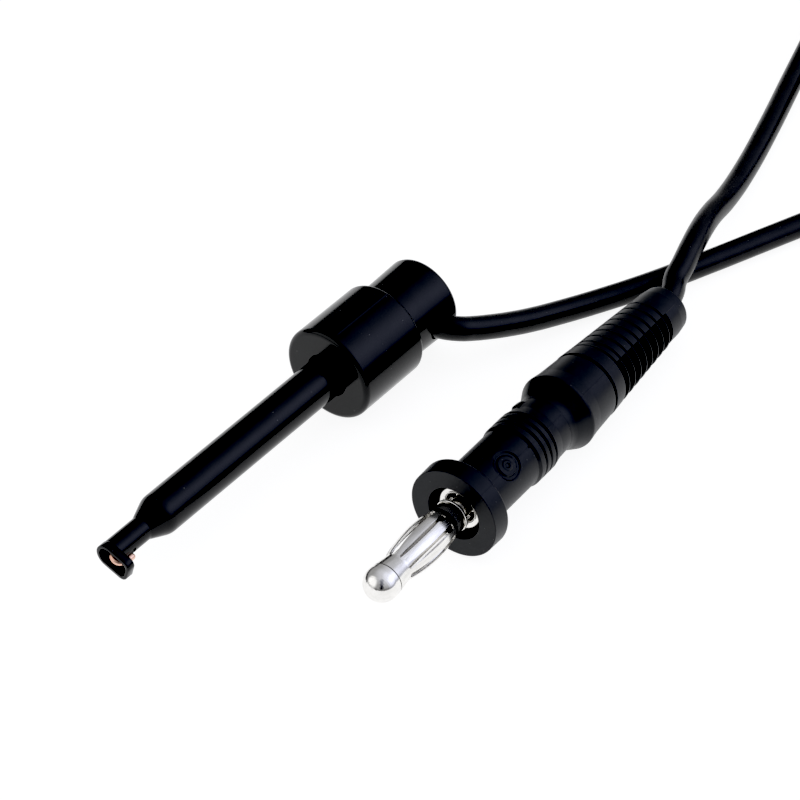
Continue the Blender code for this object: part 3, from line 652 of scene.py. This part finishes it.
def make_pin():
    """The pin: round nose, thin core for the cage, ring, neck and shank."""
    pin = turned("plug_pin_turned", [
        (SHANK_REAR, 0, 0), (SHANK_REAR, SHANK_R, 0.2), (NECK_REAR, SHANK_R, 0),
        (NECK_REAR, NECK_R, 0), (RING_REAR, NECK_R, 0), (RING_REAR, CAGE_END_R, 0.08),
        (RING_FRONT, CAGE_END_R, 0.08), (RING_FRONT, PIN_CORE_R, 0), (HEAD_REAR, PIN_CORE_R, 0),
        (HEAD_REAR, CAGE_END_R + 0.03, 0.08), *nose_arc(), (-PLUG_R, 0, 0),
    ], plug)
    place_piece(pin, NICKEL, "plunger", "nickel", "plug_pin")


def cage_radius(along):
    """Outer radius of the contact cage: a narrow waist, a bulge, and a plain band."""
    if along <= CAGE_WAIST_AT:
        share = (along - CAGE_FRONT) / (CAGE_WAIST_AT - CAGE_FRONT)
        return CAGE_END_R + (CAGE_WAIST_R - CAGE_END_R) * share
    reach = (along - CAGE_BULGE_AT) / (CAGE_BULGE_AT - CAGE_WAIST_AT)
    radius = CAGE_WAIST_R + (CAGE_BULGE_R - CAGE_WAIST_R) * max(0.0, 1 - reach ** 2) ** 0.9
    return max(radius, CAGE_BAND_R) if along > CAGE_BULGE_AT else radius


def make_cage():
    """The bulged thin tube round the pin's core, cut by slots along it."""
    steps = 44
    stations = [CAGE_FRONT + (CAGE_REAR - CAGE_FRONT) * k / steps for k in range(steps + 1)]
    outer = [(along, cage_radius(along), 0) for along in reversed(stations)]
    inner = [(along, cage_radius(along) - CAGE_WALL, 0) for along in stations]
    cage = turned("contact_cage_lamellae", outer + inner, plug, facets=128, closed=True)
    half_long = CAGE_SLOT_LONG / 2 - CAGE_SLOT_WIDE / 2
    slot_outline = []
    for end, start in ((1, 0), (-1, 180)):
        for k in range(9):
            angle = math.radians(start + 180 * k / 8)
            slot_outline.append((CAGE_SLOT_WIDE / 2 * math.cos(angle),
                                 end * half_long + CAGE_SLOT_WIDE / 2 * math.sin(angle)))
    for k in range(CAGE_SLOTS):
        turn = Matrix.Rotation(math.radians(CAGE_SLOT_DEG) + math.tau * k / CAGE_SLOTS, 4, "Z")
        # the slot's own frame: its length along the plug, its depth out from the axis
        stand = Matrix(((0, 0, 1, 0), (1, 0, 0, 0), (0, 1, 0, CAGE_SLOT_AT * MM), (0, 0, 0, 1)))
        cutter = stacked(f"slot_{k}", lambda inset: slot_outline, [(1.0, 0), (3.0, 0)],
                         plug @ turn @ stand)
        combine(cage, cutter, "DIFFERENCE")
    place_piece(cage, DRAWN_NICKEL, "cage", "nickel", "contact_cage")


COLLAR_FRONT, COLLAR_REAR = 13.75, 15.35
COLLAR_R, COLLAR_BORE_R, COLLAR_ROUND = 2.85, 1.7, 0.56


def make_collar():
    """The rounded ring in the flange's recess."""
    collar = turned("pin_collar_polished", [
        (COLLAR_REAR, COLLAR_R, 0.05), (COLLAR_FRONT, COLLAR_R, COLLAR_ROUND),
        (COLLAR_FRONT, COLLAR_BORE_R, COLLAR_ROUND), (COLLAR_REAR, COLLAR_BORE_R, 0),
    ], plug, closed=True)
    place_piece(collar, NICKEL, "plunger", "nickel", "pin_collar")


FLANGE_FRONT, FLANGE_REAR = 12.85, 15.2
FLANGE_FRONT_R, FLANGE_R = 5.30, 5.36
RECESS_R, RECESS_END = 3.12, 15.65
PIN_HOLE_R, PIN_HOLE_END = 1.8, 19.0
SLEEVE_BORE_R = 2.3
BODY_R, GRIP_R = 3.65, 3.86
BODY_END = 23.6
GRIP_FRONT, GRIP_REAR = 23.95, 27.1
GRIP_GROOVES = (24.7, 25.65, 26.6)
SLEEVE_STEP, SLEEVE_REAR = 31.55, 36.0   # the thin rear part that the clamp sleeve holds
SLEEVE_STEP_R, SLEEVE_REAR_R = 3.46, 3.1
MARK_AT, MARK_DEG, MARK_R = 19.7, 215.0, 1.45
MARK_RING_WIDE, MARK_RING_DEEP, MARK_SUNK = 0.21, 0.17, 0.07
MARK_DISC_R, MARK_DISC_HIGH = 0.66, 0.07
MARK_DIMPLE_R, MARK_DIMPLE_DEEP = 0.36, 0.12
SEAM_DEG = 217.5              # the mould's parting line, along all the plug's plastic pieces
SEAM_COLUMNS = [SEAM_DEG + off for off in (-1.3, -0.8, -0.25, 0.25, 0.8, 1.3)]
SEAM_HIGH = 0.016
FLASH_AT, FLASH_HIGH = 23.6, 0.14   # a speck of flash on the parting line
FLASH_HALF_LONG, FLASH_HALF_DEG = 0.1, 1.0
LUG_AT, LUG_DEG = 29.0, 130.0
LUG_HALF_LONG, LUG_HALF_DEG, LUG_HIGH = 0.3, 8.0, 0.24


def on_seam(angle):
    """Whether an angle lies on the mould's parting line."""
    return abs(math.degrees(angle) - SEAM_DEG) < 0.4


def grooves(starts, radius_at, width, depth, lip=0.0):
    """Corners of grooves, far end first; `starts` are the grooves' near edges."""
    corners = []
    for start in sorted(starts, reverse=True):
        corners += [
            (start + width, radius_at(start + width), lip),
            (start + width * 0.62, radius_at(start) - depth, 0.0),
            (start + width * 0.38, radius_at(start) - depth, 0.0),
            (start, radius_at(start), lip),
        ]
    return corners


def sleeve_relief(along, angle, radius):
    """The parting line with its flash, a small lug, and a plain round moulded mark: a sunk
    ring, and in it a disc with a dimple."""
    if radius < 3.3:
        return 0.0
    turned_deg = math.degrees(angle)
    rise = SEAM_HIGH if on_seam(angle) else 0.0
    rise += (FLASH_HIGH * eased(2 - abs(along - FLASH_AT) / FLASH_HALF_LONG)
             * eased(2 - abs(turned_deg - SEAM_DEG) / FLASH_HALF_DEG))
    rise += (LUG_HIGH * eased(2 - abs(along - LUG_AT) / LUG_HALF_LONG)
             * eased(2 - abs(turned_deg - LUG_DEG) / LUG_HALF_DEG))
    away = math.hypot(along - MARK_AT, radius * (angle - math.radians(MARK_DEG)))
    if away > MARK_R + 0.3:
        return rise
    ring = eased(1.5 - abs(away - MARK_R) / MARK_RING_WIDE)
    disc = eased((MARK_DISC_R - away) / 0.14)
    dimple = eased((MARK_DIMPLE_R - away) / 0.16)
    sunk = eased((MARK_R - away) / 0.2)
    return (rise + MARK_DISC_HIGH * disc - MARK_RING_DEEP * ring - MARK_SUNK * sunk
            - MARK_DIMPLE_DEEP * dimple)


def make_sleeve():
    """The front insulator: a flange with a recess, a body with a grip, and a thin rear part."""
    grip = grooves(GRIP_GROOVES, lambda along: GRIP_R, 0.36, 0.22, 0.07)
    sleeve = turned("plug_sleeve_body", [
        (SLEEVE_REAR, SLEEVE_REAR_R, 0), (SLEEVE_STEP, SLEEVE_REAR_R, 0),
        (SLEEVE_STEP, SLEEVE_STEP_R, 0.05),
        (28.3, 3.60, 0.5), (GRIP_REAR, GRIP_R - 0.04, 0.3), *grip,
        (GRIP_FRONT, GRIP_R, 0.1), (BODY_END, BODY_R, 0.05),
        (FLANGE_REAR, BODY_R, 0.12), (FLANGE_REAR, FLANGE_R, 0.22),
        (FLANGE_FRONT, FLANGE_FRONT_R, 0.08), (FLANGE_FRONT, RECESS_R, 0.12),
        (RECESS_END, RECESS_R, 0.1), (RECESS_END, PIN_HOLE_R, 0),
        (PIN_HOLE_END, PIN_HOLE_R, 0), (PIN_HOLE_END, SLEEVE_BORE_R, 0),
        (SLEEVE_REAR, SLEEVE_BORE_R, 0),
    ], plug, facets=240, closed=True, relief=sleeve_relief,
        extra=[*SEAM_COLUMNS, *(MARK_DEG + 1.2 * k for k in range(-22, 23))],
        stations=[*(MARK_AT - 1.8 + 0.07 * k for k in range(52)),
                  *(FLASH_AT - 0.35 + 0.05 * k for k in range(15)),
                  *(LUG_AT - 0.95 + 0.1 * k for k in range(20))])
    place_piece(sleeve, SATIN, "plunger", "plug_plastic", "plug_sleeve")


def seam_relief(along, angle, radius):
    """The parting line alone, on the outer wall."""
    return SEAM_HIGH if on_seam(angle) and radius > 3.8 else 0.0


CLAMP_FRONT, CLAMP_REAR = 30.1, 38.08
CLAMP_WIDEST, CLAMP_R, CLAMP_REAR_R = 32.9, 4.68, 4.20
CLAMP_BORE_R = 3.45
LIP_R, LIP_BORE_R, LIP_BORE_END = 3.53, 3.49, 31.95


def make_clamp():
    """The rear sleeve: a thin front lip, a cone, a rounded shoulder and an even taper."""
    clamp = turned("clamp_sleeve_ring", [
        (CLAMP_REAR, CLAMP_REAR_R, 0.08), (34.6, 4.44, 1.0), (CLAMP_WIDEST, CLAMP_R, 0.5),
        (30.8, 3.60, 1.6), (CLAMP_FRONT, LIP_R, 0), (CLAMP_FRONT, LIP_BORE_R, 0),
        (LIP_BORE_END, LIP_BORE_R, 0), (LIP_BORE_END, CLAMP_BORE_R, 0),
        (CLAMP_REAR, CLAMP_BORE_R, 0),
    ], plug, facets=200, closed=True, relief=seam_relief, extra=SEAM_COLUMNS)
    place_piece(clamp, SATIN, "plunger", "plug_plastic", "clamp_sleeve")


BOOT_FRONT, BOOT_REAR = 38.33, 55.4
BOOT_FRONT_R, BAND_END_R, BAND_DROP = 4.24, 4.06, 0.18
BAND_END = 40.3
BOOT_TAPER = 0.0735
BOOT_ROUND_FROM, BOOT_REAR_R = 53.8, 2.84
BOOT_BORE_R, BOOT_MOUTH_R = 1.65, 2.25
SLOTS_FROM, SLOTS_TO = 40.3, 51.8
FIRST_GROOVE, RIB_PITCH = 41.40, 1.36
EDGE_GROOVE = 40.42           # the groove that carries on the near edge of the slots
GROOVE_WIDE, GROOVE_DEEP = 0.24, 0.15
THIN_RIB_WIDE, SLOT_DEEP = 0.30, 0.90
THIN_RIB_SHIFT = -0.14        # from a groove's middle to the thin rib's on the other half
SLOT_EDGE = 0.15              # how far the first and last slots take to reach their depth
BOOT_RIBS = 9


def boot_radius(along):
    """Outer radius of the ribbed boot: a smooth band, then an even taper to the end collar."""
    if along < BAND_END:
        return BOOT_FRONT_R - BAND_DROP * (along - BOOT_FRONT) / (BAND_END - BOOT_FRONT)
    return BAND_END_R - BOOT_TAPER * (along - BAND_END)


def off_nearest(along, start):
    """Distance to the nearest of the places that are a rib pitch apart from the start."""
    return abs((along - start + RIB_PITCH / 2) % RIB_PITCH - RIB_PITCH / 2)


def boot_relief(along, angle, radius):
    """Narrow grooves on one half of the boot, and on the other thin ribs with wide slots
    between them. The halves meet at the parting lines."""
    if radius < boot_radius(along) - 0.3:
        return 0.0
    if not SLOTS_FROM < along < SLOTS_TO:
        return SEAM_HIGH if on_seam(angle) and along < SLOTS_FROM else 0.0
    past = (math.degrees(angle) - SEAM_DEG) % 360.0
    share = eased(past % 180.0) * eased(180.0 - past % 180.0)
    if past > 180.0:
        off = min(off_nearest(along, FIRST_GROOVE), abs(along - EDGE_GROOVE))
        return -GROOVE_DEEP * share * eased(1.5 - off / GROOVE_WIDE * 2)
    start = FIRST_GROOVE + THIN_RIB_SHIFT
    rib = eased(1.5 - off_nearest(along, start) / THIN_RIB_WIDE * 2)
    if along <= start - RIB_PITCH / 2:
        rib = 0.0
    ends = eased((along - SLOTS_FROM) / SLOT_EDGE) * eased((SLOTS_TO - along) / SLOT_EDGE)
    return -SLOT_DEEP * (1 - rib) * ends * share


def make_boot():
    """The ribbed boot, with points added round each groove, rib and parting line."""
    steps = (0.0, 0.06, 0.12, 0.17, 0.22, 0.28)
    stations = [SLOTS_FROM + 0.03 * k for k in range(1, 7)]
    stations += [SLOTS_TO - 0.03 * k for k in range(1, 7)]
    stations += [EDGE_GROOVE + 0.06 * k for k in range(-1, 4)]
    for k in range(BOOT_RIBS):
        for middle in (FIRST_GROOVE, FIRST_GROOVE + THIN_RIB_SHIFT):
            stations += [middle + RIB_PITCH * k + side * step
                         for step in steps for side in (-1, 1)]
    boot = turned("bend_relief_boot_ribbed", [
        (BOOT_REAR, BOOT_REAR_R, 0.4), (BOOT_ROUND_FROM, boot_radius(BOOT_ROUND_FROM), 0.8),
        (BAND_END, BAND_END_R, 0.3), (BOOT_FRONT, BOOT_FRONT_R, 0.10),
        (BOOT_FRONT, BOOT_BORE_R, 0), (49.5, BOOT_BORE_R, 0), (52.9, 1.85, 0),
        (BOOT_REAR, BOOT_MOUTH_R, 0.08),
    ], plug, facets=180, closed=True, relief=boot_relief,
        extra=[*SEAM_COLUMNS, *(SEAM_DEG + side + off for side in (0.0, 180.0 - 360.0)
                                for off in (-1.0, -0.5, 0.0, 0.5, 1.0))],
        stations=[t for t in stations if SLOTS_FROM < t < SLOTS_TO])
    place_piece(boot, SATIN, "plunger", "plug_plastic", "bend_relief_boot")


make_pin()
make_cage()
make_collar()
make_sleeve()
make_clamp()
make_boot()

# --- the tie round the coil -----------------------------------------------------------------------

TIE_WIDE, TIE_THICK, TIE_CORNER_R, TIE_BEVEL = 3.2, 0.5, 1.1, 0.1


def make_tie():
    """A flat closed band round the turns."""
    low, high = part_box("coil_tie")
    middle = (low + high) / 2 / MM
    half_wide, half_tall = (high.x - low.x) / 2 / MM, (high.z - low.z) / 2 / MM

    def band_outline(inset):
        corner = TIE_CORNER_R - inset
        points = []
        for x, z, start in ((1, -1, -90), (1, 1, 0), (-1, 1, 90), (-1, -1, 180)):
            for k in range(9):
                angle = math.radians(start + 90 * k / 8)
                points.append((x * (half_wide - TIE_CORNER_R) + corner * math.cos(angle),
                               z * (half_tall - TIE_CORNER_R) + corner * math.sin(angle)))
        return points

    half = TIE_WIDE / 2
    near, far = TIE_BEVEL, TIE_THICK - TIE_BEVEL
    profile = [(-half + near, 0.0), (-half, near), (-half, far), (-half + near, TIE_THICK),
               (half - near, TIE_THICK), (half, far), (half, near), (half - near, 0.0)]
    verts = []
    for y, inset in profile:
        verts += [((middle.x + x) * MM, (middle.y + y) * MM, (middle.z + z) * MM)
                  for x, z in band_outline(inset)]
    count = len(verts) // len(profile)
    tie = mesh_object("coil_tie_band", verts, grid_faces(len(profile), count, True))
    place_piece(tie, BAND, "plunger", "tie_band", "coil_tie")


make_tie()

# --- floor, light and colour ----------------------------------------------------------------------

FLOOR_HALF = 3.0
FLOOR_DROP = 0.00004
FLOOR_GREY = 0.22
FLOOR_GLOW = 0.90             # lights the table from within, as a light table does


def make_floor():
    """The pale table, just under the lead."""
    corners = [(x * FLOOR_HALF, y * FLOOR_HALF, -FLOOR_DROP)
               for x, y in ((-1, -1), (1, -1), (1, 1), (-1, 1))]
    floor = mesh_object("floor", corners, [(0, 1, 2, 3)])
    pale = bpy.data.materials.new("pale_floor")
    pale.use_nodes = True
    shader = pale.node_tree.nodes["Principled BSDF"]
    shader.inputs["Base Color"].default_value = (FLOOR_GREY, FLOOR_GREY, FLOOR_GREY, 1.0)
    shader.inputs["Roughness"].default_value = 0.9
    shader.inputs["Specular IOR Level"].default_value = 0.0
    shader.inputs["Emission Color"].default_value = (1.0, 1.0, 1.0, 1.0)
    shader.inputs["Emission Strength"].default_value = FLOOR_GLOW
    floor.data.materials.append(pale)


make_floor()

# the studio's lights as soft lobes on an even sky: azimuth, elevation, half-width of the even
# middle and of the whole lobe, all in degrees, and the radiance that each adds
SKY = (0.35, 0.35, 0.355)
LOBES = [
    (145, 24, 18, 40, (0.80, 0.80, 0.80)),
    (-54, 15, 10, 50, (0.40, 0.42, 0.55)),
    (-50, 52, 8, 40, (0.22, 0.23, 0.29)),
    (-50, 65, 20, 75, (0.31, 0.32, 0.365)),
    *((-142, elevation, 4, 15, (-0.33, -0.33, -0.33)) for elevation in (18, 38, 58)),
]
# the last three make the dark upright gap between the lights
HORIZON_FADE = (0.05, 0.25)   # sines of the elevations where the sky starts and stops fading in
HORIZON_SHARE = 0.5


def make_sky():
    """The world: the even sky plus its lobes, never below zero, fading towards the horizon."""
    world = bpy.data.worlds.new("studio")
    world.use_nodes = True
    sky = world.node_tree
    link = sky.links.new
    coords = add(sky, "ShaderNodeTexCoord")
    total = add(sky, "ShaderNodeCombineXYZ", X=SKY[0], Y=SKY[1], Z=SKY[2]).outputs["Vector"]
    for azimuth, elevation, inner, outer, radiance in LOBES:
        az, el = math.radians(azimuth), math.radians(elevation)
        facing = add(sky, "ShaderNodeVectorMath", {"operation": "DOT_PRODUCT"})
        facing.inputs[1].default_value = (math.cos(az) * math.cos(el),
                                          math.sin(az) * math.cos(el), math.sin(el))
        link(coords.outputs["Generated"], facing.inputs[0])
        share = add(sky, "ShaderNodeMapRange", {"interpolation_type": "SMOOTHSTEP"},
                    From_Min=math.cos(math.radians(outer)), From_Max=math.cos(math.radians(inner)))
        link(facing.outputs["Value"], share.inputs["Value"])
        lobe = add(sky, "ShaderNodeVectorMath", {"operation": "SCALE"}, Vector=radiance)
        link(share.outputs["Result"], lobe.inputs["Scale"])
        joined = add(sky, "ShaderNodeVectorMath", {"operation": "ADD"})
        link(total, joined.inputs[0])
        link(lobe.outputs["Vector"], joined.inputs[1])
        total = joined.outputs["Vector"]
    lit = add(sky, "ShaderNodeVectorMath", {"operation": "MAXIMUM"})
    lit.inputs[1].default_value = (0.0, 0.0, 0.0)
    link(total, lit.inputs[0])
    rise = add(sky, "ShaderNodeSeparateXYZ")
    link(coords.outputs["Generated"], rise.inputs["Vector"])
    fade = add(sky, "ShaderNodeMapRange", {"interpolation_type": "SMOOTHSTEP"},
               From_Min=HORIZON_FADE[0], From_Max=HORIZON_FADE[1], To_Min=HORIZON_SHARE)
    link(rise.outputs["Z"], fade.inputs["Value"])
    faded = add(sky, "ShaderNodeVectorMath", {"operation": "SCALE"})
    link(lit.outputs["Vector"], faded.inputs["Vector"])
    link(fade.outputs["Result"], faded.inputs["Scale"])
    link(faded.outputs["Vector"], sky.nodes["Background"].inputs["Color"])
    bpy.context.scene.world = world


make_sky()

BLACK_LEVEL = (0.039, 0.0388, 0.0392)
settings = bpy.context.scene.view_settings
settings.view_transform = "Standard"
settings.look = "None"
settings.use_curve_mapping = True
settings.curve_mapping.black_level = BLACK_LEVEL
settings.curve_mapping.update()
